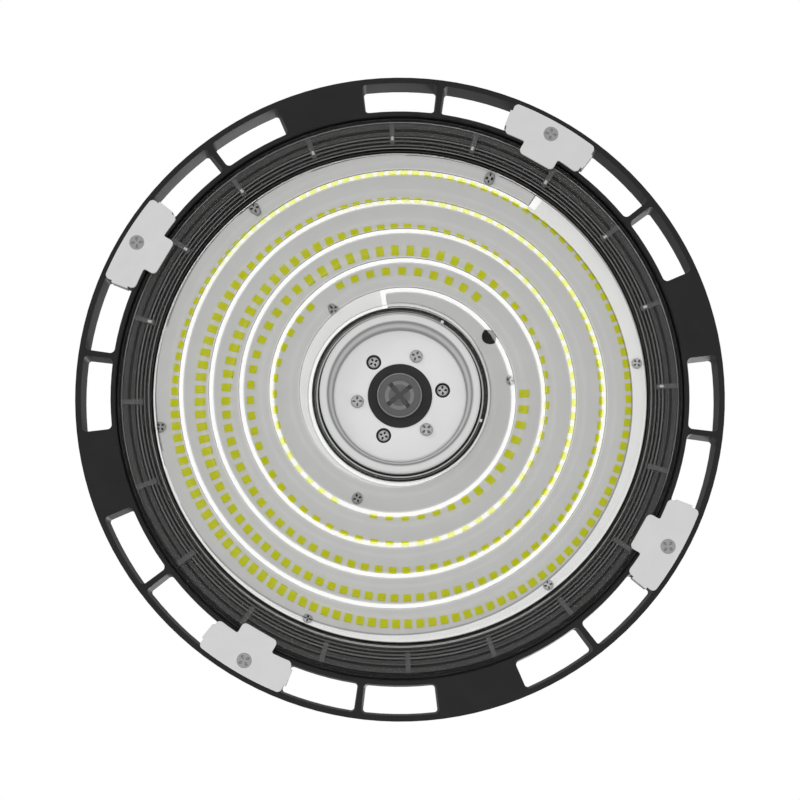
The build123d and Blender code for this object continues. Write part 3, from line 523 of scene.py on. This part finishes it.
def build_lens():
    """The clear lens: spiral optic, slope, rim with its step, inner wall and lip."""
    ends = [START_ANGLE % 360 - END_RAMP, (START_ANGLE + SWEEP) % 360 + END_RAMP]
    angles = np.array(sorted([360.0 * j / LENS_STEPS for j in range(LENS_STEPS)] + ends))
    turns = np.arange(-1, SPIRAL_TURNS)
    across = np.array(RIDGE_SAMPLES + (PITCH - VALLEY / 2,))
    per_turn = len(across)
    unwrapped = angles[:, None] + 360 * turns[None, :]
    radius = inner_edge_at(unwrapped)[:, :, None] + across[None, None, :]
    radius = np.clip(radius, SPIRAL_CLIP_RADIUS, RIDGE_CLIP_RADIUS)
    height = front_height(radius, unwrapped[:, :, None] + 0 * radius)
    angle = np.radians(angles)[:, None, None] + 0 * radius
    vertices = np.stack(
        [radius * np.cos(angle), radius * np.sin(angle), OPTIC_FRONT - height], axis=-1
    )
    columns = len(angles)
    rows = len(turns) * per_turn
    points = [tuple(p) for p in vertices.reshape(-1, 3)]
    faces = []
    for column in range(columns):
        for row in range(rows - 1):
            if column < columns - 1:
                other = (column + 1) * rows + row
            elif row + per_turn < rows - 1:
                other = row + per_turn
            else:
                continue
            a = column * rows + row
            faces.append((a, other, other + 1, a + 1))

    def clipped(ring_radius):
        """A ring on the ridge where it is cut off."""
        return ring_radius, [OPTIC_FRONT - cut_height(ring_radius, value) for value in angles]

    def level(ring_radius, z):
        """A ring at one height."""
        return ring_radius, [z] * columns

    rings = [
        clipped(RIDGE_CLIP_RADIUS),
        level(RIDGE_CLIP_RADIUS, OPTIC_FRONT),
        level(RIDGE_CLIP_RADIUS + CUT_LINE, OPTIC_FRONT),
    ]
    slope = OPTIC_FRONT - RING_FRONT
    slope_width = RIM_WALL_RADIUS - OPTIC_RADIUS
    for step in range(SLOPE_STEPS + 1):
        share = step / SLOPE_STEPS
        rings.append(level(OPTIC_RADIUS + slope_width * share, OPTIC_FRONT - slope * share))
    rings_in = [
        level(LENS_INNER_RADIUS, OPTIC_FRONT),
        level(SPIRAL_CLIP_RADIUS, OPTIC_FRONT),
        clipped(SPIRAL_CLIP_RADIUS),
    ]

    def add_rings(ring_list):
        base = len(points)
        for ring_radius, heights in ring_list:
            for value, z in zip(angles, heights):
                a = radians(value)
                points.append((ring_radius * cos(a), ring_radius * sin(a), z))
        for row in range(len(ring_list) - 1):
            for column in range(columns):
                near = base + row * columns + column
                nxt = base + row * columns + (column + 1) % columns
                faces.append((near, nxt, nxt + columns, near + columns))

    add_rings(rings)
    add_rings(rings_in)

    # Back of the lens, from the step of the rim to the inner wall
    slope_back = RIM_WALL_RADIUS + SLOPE_SHIFT
    back = [
        (STEP_RADIUS - STEP_LEDGE, RING_FRONT),
        (STEP_RADIUS, RING_FRONT),
        (STEP_RADIUS + STEP_DEPTH / 2, RING_FRONT + STEP_DEPTH),
        (LENS_RADIUS, RING_FRONT + STEP_DEPTH),
        (LENS_RADIUS, RING_FRONT + STEP_DEPTH + RIM_SKIN),
        (STEP_RADIUS, RING_FRONT + STEP_DEPTH + RIM_SKIN),
        (STEP_RADIUS - STEP_DEPTH / 2, RING_FRONT + RIM_SKIN),
        (slope_back, RING_FRONT + RIM_SKIN),
        (slope_back - slope_width, OPTIC_FRONT + RIM_SKIN),
        (slope_back - slope_width, OPTIC_BACK),
        (LENS_INNER_RADIUS + INNER_WALL, OPTIC_BACK),
        (LENS_INNER_RADIUS + INNER_WALL, BOARD_FRONT - BOARD_GAP),
        (LENS_INNER_RADIUS, BOARD_FRONT - BOARD_GAP),
        (LENS_INNER_RADIUS, OPTIC_BACK),
    ]
    loop = [(RIM_WALL_RADIUS, RING_FRONT)] + back + [(LENS_INNER_RADIUS, OPTIC_FRONT)]
    soft = rounded(loop, CORNER)[2:-2]
    rim_start = [(RIM_WALL_RADIUS, RING_FRONT), (RIM_WALL_RADIUS + RIM_START, RING_FRONT)]
    profile = rim_start + soft[1:-1] + [(LENS_INNER_RADIUS, OPTIC_FRONT)]
    base = len(points)
    for value in angles:
        a = radians(value)
        for ring_radius, z in profile:
            points.append((ring_radius * cos(a), ring_radius * sin(a), z))
    count = len(profile)
    for column in range(columns):
        a = base + column * count
        b = base + ((column + 1) % columns) * count
        for row in range(count - 1):
            faces.append((a + row, b + row, b + row + 1, a + row + 1))

    # Clear lip over the inner gasket
    lip_outer = LENS_INNER_RADIUS - LIP_GAP
    lip_back = LIP_FRONT + LIP_THICKNESS
    lip_corners = [
        (LIP_INNER_RADIUS, LIP_FRONT),
        (lip_outer, LIP_FRONT),
        (lip_outer, lip_back),
        (LIP_INNER_RADIUS, lip_back),
    ]
    lip_profile = rounded(lip_corners, LIP_CORNER)
    lip_vertices, lip_faces = revolved(lip_profile, LIP_STEPS, LIP_START, -LIP_SWEEP)
    base = len(points)
    points.extend(lip_vertices)
    faces.extend(tuple(base + i for i in face) for face in lip_faces)

    mesh = tidy(mesh_from(points, faces))
    # Painted shade on the clear lens, carried per vertex as a tint
    tint = mesh.attributes.new("shaded_clearness", "FLOAT", "POINT")
    tint.data.foreach_set("value", [shaded_clearness(vertex.co / MM) for vertex in mesh.vertices])
    for polygon in mesh.polygons:
        centre = polygon.center / MM
        polygon.material_index = lens_finish(centre, polygon.normal)
    return link("clear_lens", mesh)


lens = build_lens()
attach(lens, "root")
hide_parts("lens")
lens.visible_shadow = False
lens.visible_diffuse = False


def toned(name, vertices, faces, tones, sharp=35.0):
    """A piece whose faces carry a paleness each, which holds painted highlights and painted shade
    as well as the piece's own colour.
    """
    mesh = mesh_from(vertices, faces)
    paleness = mesh.attributes.new("paleness", "FLOAT", "FACE")
    paleness.data.foreach_set("value", tones)
    return link(name, tidy(mesh, sharp))


def block(vertices, faces, tones, angle, inner, outer, width, front, back, paleness):
    """Adds a bar that points outward at an angle."""
    turn = radians(angle)
    out = Vector((cos(turn), sin(turn), 0))
    side = Vector((-sin(turn), cos(turn), 0)) * (width / 2)
    base = len(vertices)
    for height in (front, back):
        for along, way in ((inner, -1), (outer, -1), (outer, 1), (inner, 1)):
            corner = out * along + side * way
            vertices.append((corner.x, corner.y, height))
    ends = ((0, 1, 2, 3), (7, 6, 5, 4))
    sides = ((0, 4, 5, 1), (1, 5, 6, 2), (2, 6, 7, 3), (3, 7, 4, 0))
    for face in ends + sides:
        faces.append(tuple(base + i for i in face))
        tones.append(paleness)


def build_rim():
    """Steps and webs seen through the clear rim: black, with painted highlight lines and painted
    highlights on the web tips.
    """
    profile = []
    levels = []
    for outer, inner, height, paleness in RIM_BANDS:
        profile += [(outer, height), (inner, height)]
        levels += [paleness, BAND_EDGE_PALENESS]
    back = [
        (RIM_BANDS[-1][1], BOARD_FRONT - BAND_GAP),
        (RIM_BACK_RADIUS, BOARD_FRONT - BAND_GAP),
        (RIM_BACK_RADIUS, RIM_BACK),
        (RIM_BANDS[0][0], RIM_BACK),
    ]
    profile += back
    levels += [BAND_EDGE_PALENESS] * len(back)
    vertices, faces = revolved(profile, LENS_STEPS)
    tones = levels * LENS_STEPS
    web = (WEB_INNER_RADIUS, WEB_OUTER_RADIUS, WEB_WIDTH, WEB_FRONT, RIM_BACK, WEB_PALENESS)
    tip_heights = (WEB_FRONT - WEB_TIP_RISE, WEB_FRONT + WEB_TIP_RISE)
    tip_highlight = (*WEB_TIP_RADII, WEB_TIP_WIDTH, *tip_heights, WEB_TIP_HIGHLIGHT_PALENESS)
    for number in range(WEB_COUNT):
        angle = WEB_ANGLE + 360 / WEB_COUNT * number
        block(vertices, faces, tones, angle, *web)
        # Painted highlight on the webs' inner ends, in one half of the ring only
        if angle % 360 > 180:
            block(vertices, faces, tones, angle, *tip_highlight)
    return toned("rim_steps", vertices, faces, tones)


def build_inner_gasket():
    """The rubber ring round the cover, with raised beads painted pale as highlight lines."""
    inner, outer, front, back_height = GASKET_BOX
    corners = [(inner, front), (outer, front), (outer, back_height), (inner, back_height)]
    vertices, faces = revolved(rounded(corners, GASKET_CORNER), LENS_STEPS)
    tones = [GASKET_PALENESS] * len(faces)
    for radius, half, rise, paleness, start, sweep in HIGHLIGHT_BEADS:
        arch = []
        for step in range(BEAD_STEPS + 1):
            turn = pi * step / BEAD_STEPS
            arch.append((radius - half * cos(turn), front + BEAD_SINK - rise * sin(turn)))
        new_vertices, new_faces = revolved(arch, LENS_STEPS, start, sweep)
        base = len(vertices)
        vertices += new_vertices
        faces += [tuple(base + i for i in face) for face in new_faces]
        tones += [paleness] * len(new_faces)
    near, far, width, paleness = NOTCH_SIZE
    notch_front = LIP_FRONT - NOTCH_RISE
    for angle in NOTCH_ANGLES:
        block(vertices, faces, tones, angle, near, far, width, notch_front, front, paleness)
    return toned("inner_gasket", vertices, faces, tones, GASKET_SHARP)


def quarter_angle(angle, turn):
    """Angle from the nearest arm of a cross that is turned by some degrees."""
    return (angle - radians(turn) + pi / 4) % (pi / 2) - pi / 4


def ring_face(ring, step, steps):
    """Corners of a face between a ring of points and the next ring."""
    nxt = (step + 1) % steps
    near = ring * steps
    far = (ring + 1) * steps
    return near + step, near + nxt, far + nxt, far + step


def build_heads(name, places, radius, height, seat, pale, recess_shade, turns, flat):
    """Screw heads with the four marks of a cross recess, darkened with painted shade, and painted
    shade on their rims and sides.
    """
    vertices = []
    faces = []
    tones = []
    for number, (x, y) in enumerate(places):
        base = len(vertices)
        turn = turns[number % len(turns)]
        tone_at = []
        for share in SCREW_RINGS:
            for step in range(SCREW_STEPS):
                angle = 2 * pi * step / SCREW_STEPS
                local = quarter_angle(angle, turn)
                along = share * cos(local) - MARK_REACH
                aside = share * sin(local)
                in_mark = (along / MARK_LENGTH) ** 2 + (aside / MARK_WIDTH) ** 2 < 1
                edge = EDGE_SLOPE * max(0, share - EDGE_START) / EDGE_WIDTH
                crown = 1.0 if flat else 1 - DOME_FALL * share**2 - edge**2 * EDGE_FALL
                level = seat - height * crown + (MARK_DEPTH * radius if in_mark else 0)
                out_x = radius * share * cos(angle)
                out_y = radius * share * sin(angle)
                vertices.append((x + out_x, y + out_y, level))
                rim_shade = FLAT_RIM_SHADE if flat else DOME_RIM_SHADE
                tone_at.append(recess_shade if in_mark else pale * (rim_shade if share > RIM_SHARE else 1.0))
        rings = len(SCREW_RINGS)
        for ring in range(rings - 1):
            for step in range(SCREW_STEPS):
                corners = ring_face(ring, step, SCREW_STEPS)
                faces.append(tuple(base + i for i in corners))
                tones.append(min(tone_at[i] for i in corners))
        foot = len(vertices)
        foot_radius = radius * (FLAT_FOOT if flat else 1.0)
        foot_height = seat if not flat else seat - height + radius * FLAT_FOOT
        for step in range(SCREW_STEPS):
            angle = 2 * pi * step / SCREW_STEPS
            out_x = foot_radius * cos(angle)
            out_y = foot_radius * sin(angle)
            vertices.append((x + out_x, y + out_y, foot_height))
        for step in range(SCREW_STEPS):
            faces.append(tuple(base + i for i in ring_face(rings - 1, step, SCREW_STEPS)))
            tones.append(pale * SIDE_SHADE)
        faces.append(tuple(range(foot, foot + SCREW_STEPS)))
        tones.append(pale * SIDE_SHADE)
    return toned(name, vertices, faces, tones)


def on_arm(radius, angle):
    """True on the cross of the plug."""
    local = quarter_angle(angle, PLUG_TURN)
    return abs(radius * sin(local)) < PLUG_ARM_WIDTH / 2 and radius * cos(local) < PLUG_ARM_REACH


def build_plug():
    """The plug's cap: rim bead, ring and four quadrants round a cross, with painted highlights on
    the rings and painted shade in the cross and on the side.
    """

    def plug_point(radius, angle, level):
        centre_x, centre_y = PLUG_CENTRE
        return centre_x + radius * cos(angle), centre_y + radius * sin(angle), level

    vertices = []
    faces = []
    tones = []
    for radius, drop, _ in PLUG_RINGS:
        for step in range(PLUG_STEPS):
            angle = 2 * pi * step / PLUG_STEPS
            level = PLUG_FRONT + max(drop, PLUG_ARM_DROP if on_arm(radius, angle) else 0.0)
            vertices.append(plug_point(radius, angle, level))
    rings = len(PLUG_RINGS)
    for ring in range(rings - 1):
        for step in range(PLUG_STEPS):
            faces.append(ring_face(ring, step, PLUG_STEPS))
            angle = 2 * pi * (step + 0.5) / PLUG_STEPS
            middle = (PLUG_RINGS[ring][0] + PLUG_RINGS[ring + 1][0]) / 2
            paleness = PLUG_RINGS[ring][2]
            if on_arm(middle, angle):
                paleness = PLUG_ARM_SHADES[1] if middle > PLUG_ARM_SPLIT else PLUG_ARM_SHADES[0]
            tones.append(paleness)
    foot = len(vertices)
    for step in range(PLUG_STEPS):
        angle = 2 * pi * step / PLUG_STEPS
        vertices.append(plug_point(PLUG_RINGS[-1][0], angle, PLUG_BACK))
    for step in range(PLUG_STEPS):
        faces.append(ring_face(rings - 1, step, PLUG_STEPS))
        tones.append(PLUG_SIDE_SHADE)
    faces.append(tuple(range(foot, foot + PLUG_STEPS)))
    tones.append(PLUG_SIDE_SHADE)
    return toned("plug_cap", vertices, faces, tones)


def new_material(name, color, roughness, metallic=0.0):
    """A material, its node tree and its shader."""
    material = bpy.data.materials.new(name)
    material.use_nodes = True
    shader = material.node_tree.nodes["Principled BSDF"]
    shader.inputs["Base Color"].default_value = (*color, 1)
    shader.inputs["Roughness"].default_value = roughness
    shader.inputs["Metallic"].default_value = metallic
    return material, material.node_tree, shader


def noise(tree, scale, detail=4.0):
    """Noise in the object's own millimetres."""
    place = tree.nodes.new("ShaderNodeTexCoord")
    texture = tree.nodes.new("ShaderNodeTexNoise")
    texture.inputs["Scale"].default_value = scale / MM
    texture.inputs["Detail"].default_value = detail
    tree.links.new(place.outputs["Object"], texture.inputs["Vector"])
    return texture


def ramp(tree, source, dark, light, low=0.3, high=0.7):
    """Colours from dark to light that follow a value."""
    blend = tree.nodes.new("ShaderNodeValToRGB")
    blend.color_ramp.elements[0].position = low
    blend.color_ramp.elements[1].position = high
    blend.color_ramp.elements[0].color = (*dark, 1)
    blend.color_ramp.elements[1].color = (*light, 1)
    tree.links.new(source, blend.inputs["Fac"])
    return blend


def grain_bump(tree, shader, grain, strength):
    """Fine grain on the surface."""
    fine = noise(tree, grain, FINE_DETAIL)
    height = tree.nodes.new("ShaderNodeBump")
    height.inputs["Strength"].default_value = strength
    height.inputs["Distance"].default_value = BUMP_DISTANCE * MM
    tree.links.new(fine.outputs["Fac"], height.inputs["Height"])
    tree.links.new(height.outputs["Normal"], shader.inputs["Normal"])


def mottled(name, dark, light, roughness, metallic=0.0, scale=0.08, grain=1.2, bump=0.05):
    """A finish whose colour and roughness vary slightly, with a fine grain."""
    material, tree, shader = new_material(name, light, roughness, metallic)
    broad = noise(tree, scale)
    colors = ramp(tree, broad.outputs["Fac"], dark, light)
    tree.links.new(colors.outputs["Color"], shader.inputs["Base Color"])
    rough = tree.nodes.new("ShaderNodeMapRange")
    rough.inputs["To Min"].default_value = roughness - ROUGHNESS_SPREAD
    rough.inputs["To Max"].default_value = roughness + ROUGHNESS_SPREAD
    tree.links.new(broad.outputs["Fac"], rough.inputs["Value"])
    tree.links.new(rough.outputs["Result"], shader.inputs["Roughness"])
    grain_bump(tree, shader, grain, bump)
    return material


def grey(value):
    """A grey of one brightness."""
    return (value, value, value)


finishes = {
    "black_casting": mottled(
        "black_powder_coat", grey(0.010), grey(0.014), 0.55, grain=1.6, bump=0.2
    ),
    "black_rubber": mottled("black_rubber", grey(0.010), grey(0.016), 0.6),
    "white_board": mottled("white_solder_mask", grey(0.84), grey(0.88), 0.45),
    "yellow_chips": mottled(
        "yellow_phosphor", (0.74, 0.78, 0.004), (0.80, 0.84, 0.006), 0.5, scale=0.3
    ),
    "bright_screws": mottled("bright_screw_steel", grey(0.42), grey(0.55), 0.3, 1.0, scale=0.5),
    "pale_cover": mottled("satin_cover", grey(0.82), grey(0.85), 0.42),
    "black_plastic": mottled("black_moulding", grey(0.016), grey(0.022), 0.4),
    "grey_plastic": mottled("smoked_plug", grey(0.08), grey(0.11), 0.28),
    "clip_steel": mottled("satin_clip_sheet", grey(0.70), grey(0.73), 0.42),
    "driver_case": mottled("driver_case_paint", grey(0.03), grey(0.04), 0.5),
    "eye_steel": mottled("plated_eye_steel", grey(0.45), grey(0.55), 0.28, 1.0, scale=0.2),
}


def toned_material(name, roughness, metallic=0.0, scale=0.4):
    """A finish that takes its paleness, painted highlights and shade included, from the piece's
    faces, slightly mottled.
    """
    material, tree, shader = new_material(name, grey(0.5), roughness, metallic)
    place = tree.nodes.new("ShaderNodeAttribute")
    place.attribute_name = "paleness"
    broad = noise(tree, scale)
    spread = tree.nodes.new("ShaderNodeMapRange")
    spread.inputs["To Min"].default_value = 1 - TONE_SPREAD
    spread.inputs["To Max"].default_value = 1 + TONE_SPREAD
    tree.links.new(broad.outputs["Fac"], spread.inputs["Value"])
    product = tree.nodes.new("ShaderNodeMath")
    product.operation = "MULTIPLY"
    tree.links.new(place.outputs["Fac"], product.inputs[0])
    tree.links.new(spread.outputs["Result"], product.inputs[1])
    colors = ramp(tree, product.outputs["Value"], (0, 0, 0), (1, 1, 1), 0.0, 1.0)
    tree.links.new(colors.outputs["Color"], shader.inputs["Base Color"])
    grain_bump(tree, shader, TONED_GRAIN, TONED_BUMP)
    return material


def painted_shade_rings(material, stops, first, last):
    """Lays rings of painted shade and painted reflection round the axis over a finish: radius and
    paleness of each stop.
    """
    tree = material.node_tree
    shader = tree.nodes["Principled BSDF"]
    place = tree.nodes.new("ShaderNodeTexCoord")
    flat = tree.nodes.new("ShaderNodeVectorMath")
    flat.operation = "MULTIPLY"
    flat.inputs[1].default_value = (1, 1, 0)
    tree.links.new(place.outputs["Object"], flat.inputs[0])
    length = tree.nodes.new("ShaderNodeVectorMath")
    length.operation = "LENGTH"
    tree.links.new(flat.outputs["Vector"], length.inputs[0])
    share = tree.nodes.new("ShaderNodeMapRange")
    share.inputs["From Min"].default_value = first * MM
    share.inputs["From Max"].default_value = last * MM
    tree.links.new(length.outputs["Value"], share.inputs["Value"])
    blend = tree.nodes.new("ShaderNodeValToRGB")
    elements = blend.color_ramp.elements
    for index, (radius, paleness) in enumerate(stops):
        place_on = (radius - first) / (last - first)
        element = elements[index] if index < 2 else elements.new(place_on)
        element.position = place_on
        element.color = (*grey(paleness), 1)
    tree.links.new(share.outputs["Result"], blend.inputs["Fac"])
    mix = tree.nodes.new("ShaderNodeMix")
    mix.data_type = "RGBA"
    mix.blend_type = "MULTIPLY"
    mix.inputs["Factor"].default_value = 1.0
    old = shader.inputs["Base Color"].links[0].from_socket
    tree.links.new(old, mix.inputs["A"])
    tree.links.new(blend.outputs["Color"], mix.inputs["B"])
    tree.links.new(mix.outputs["Result"], shader.inputs["Base Color"])


def clear_lens_material(name, shine):
    """Clear plastic with a share of the usual shine, tinted by the painted shade that the lens
    carries per vertex.
    """
    material, tree, shader = new_material(name, (1, 1, 1), LENS_ROUGHNESS)
    shader.inputs["Transmission Weight"].default_value = 1.0
    shader.inputs["IOR"].default_value = LENS_IOR
    shader.inputs["Specular Tint"].default_value = (*grey(shine), 1)
    place = tree.nodes.new("ShaderNodeAttribute")
    place.attribute_name = "shaded_clearness"
    squared = tree.nodes.new("ShaderNodeMath")
    squared.operation = "POWER"
    squared.inputs[1].default_value = 2.0
    tree.links.new(place.outputs["Fac"], squared.inputs[0])
    tint = ramp(tree, squared.outputs["Value"], (0.0, 0.0, 0.0), LENS_TINT, 0.0, 1.0)
    tree.links.new(tint.outputs["Color"], shader.inputs["Base Color"])
    return material


finishes["clear_lens"] = clear_lens_material("clear_lens_plastic", 0.1)
lens.data.materials.append(finishes["clear_lens"])
# Opaque pale inner wall of the lens: painted highlight for the bright band at its inner edge
lens.data.materials.append(mottled("lens_inner_wall_painted_highlight", grey(0.80), grey(0.86), 0.4))
lens.data.materials.append(clear_lens_material("polished_valley", 1.0))
lens.data.materials.append(clear_lens_material("clear_rim_plastic", 0.02))
# Painted shade and dark painted reflection lines in rings on the cover
painted_shade_rings(finishes["pale_cover"], COVER_SHADE_RINGS, *COVER_SHADE_RADII)


def dress(piece, material, node):
    """Gives a piece its material in a slot and its body, and hides the node that it stands in for.
    """
    piece.data.materials.append(material)
    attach(piece, "root")
    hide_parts(node)


rim = build_rim()
# Rim finish: the paleness of each face carries the painted highlight lines
rim_finish = toned_material("rim_moulding_painted_highlights", 0.6)
rim_finish.node_tree.nodes["Principled BSDF"].inputs["Specular IOR Level"].default_value = 0.2
rim.data.materials.append(rim_finish)
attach(rim, "root")
screw_finish = toned_material("screw_zinc_painted_shade", 0.35, 0.3, scale=1.0)
# Gasket finish: the beads' paleness is painted highlight
gasket_finish = toned_material("gasket_rubber_painted_highlights", 0.5)
dress(build_inner_gasket(), gasket_finish, "lens_gasket_inner")
plug_finish = toned_material("plug_moulding_painted_light", 0.32)
dress(build_plug(), plug_finish, "port_plug")
for *heads, screw_node in SCREW_SETS:
    dress(build_heads(*heads), screw_finish, screw_node)

slots = {entry["node"]: entry["material_slot"] for entry in frame["record"]["subparts"]}
for name, node in nodes.items():
    node.data.materials.clear()
    node.data.materials.append(finishes[slots[name]])


def plain_floor():
    """A wide floor far under the light."""
    mesh = bpy.data.meshes.new("floor")
    h = FLOOR_HALF
    corners = [(x, y, FLOOR_HEIGHT) for x, y in ((-h, -h), (h, -h), (h, h), (-h, h))]
    mesh.from_pydata(corners, [], [(0, 1, 2, 3)])
    floor = link("floor", mesh)
    material, tree, shader = new_material("pale_floor", grey(0.8), 0.9)
    patches = noise(tree, FLOOR_GRAIN)
    colors = ramp(tree, patches.outputs["Fac"], grey(0.78), grey(0.82))
    tree.links.new(colors.outputs["Color"], shader.inputs["Base Color"])
    mesh.materials.append(material)
    return floor


plain_floor()

# Soft light all round, which the camera and clear plastic see as white
world = bpy.data.worlds.new("studio")
bpy.context.scene.world = world
world.use_nodes = True
tree = world.node_tree
background = tree.nodes["Background"]
background.inputs["Color"].default_value = (1, 1, 1, 1)
rays = tree.nodes.new("ShaderNodeLightPath")
bright = tree.nodes.new("ShaderNodeMath")
bright.operation = "MAXIMUM"
tree.links.new(rays.outputs["Is Camera Ray"], bright.inputs[0])
tree.links.new(rays.outputs["Is Transmission Ray"], bright.inputs[1])
level = tree.nodes.new("ShaderNodeMapRange")
level.inputs["To Min"].default_value = WORLD_STRENGTH
level.inputs["To Max"].default_value = 1.0
tree.links.new(bright.outputs["Value"], level.inputs["Value"])
tree.links.new(level.outputs["Result"], background.inputs["Strength"])


def soft_lamp(name, place, target, size, watts, shiny):
    """A round lamp. One that isn't shiny gives light but shows in no reflection."""
    data = bpy.data.lights.new(name, "AREA")
    data.shape = "DISK"
    data.size = size
    data.energy = watts
    lamp = bpy.data.objects.new(name, data)
    lamp.location = place
    lamp.rotation_mode = "QUATERNION"
    lamp.rotation_quaternion = (Vector(target) - Vector(place)).to_track_quat("-Z", "Y")
    lamp.visible_glossy = shiny
    lamp.visible_transmission = shiny
    bpy.context.scene.collection.objects.link(lamp)
    return lamp


for lamp_values in LAMPS:
    soft_lamp(*lamp_values)

# A soft lamp whose shine falls on the lens alone
lens_only = bpy.data.collections.new("lens_only")
lens_only.objects.link(lens)
sheen = soft_lamp(*SHEEN_LAMP)
sheen.visible_transmission = False
sheen.light_linking.receiver_collection = lens_only

# Camera
tilt = radians(CAMERA_TILT)
eye = Vector((0, CAMERA_DISTANCE * sin(tilt), RING_FRONT - CAMERA_DISTANCE * cos(tilt))) * MM
camera_up = Vector((0, -cos(tilt), -sin(tilt)))
aim = Vector((0, 0, RING_FRONT)) * MM - camera_up * (CAMERA_AIM * MM)
back = (eye - aim).normalized()
right = Vector((1, 0, 0))
up = back.cross(right)
camera_data = bpy.data.cameras.new("camera")
camera_data.lens = CAMERA_LENS
camera_data.sensor_width = SENSOR_WIDTH
camera_data.clip_start = CLIP_START
camera_data.clip_end = CLIP_END
camera = bpy.data.objects.new("camera", camera_data)
camera.matrix_world = Matrix(
    (
        (right.x, up.x, back.x, eye.x),
        (right.y, up.y, back.y, eye.y),
        (right.z, up.z, back.z, eye.z),
        (0, 0, 0, 1),
    )
)
bpy.context.scene.collection.objects.link(camera)
bpy.context.scene.camera = camera
bpy.context.scene.view_settings.view_transform = "Standard"
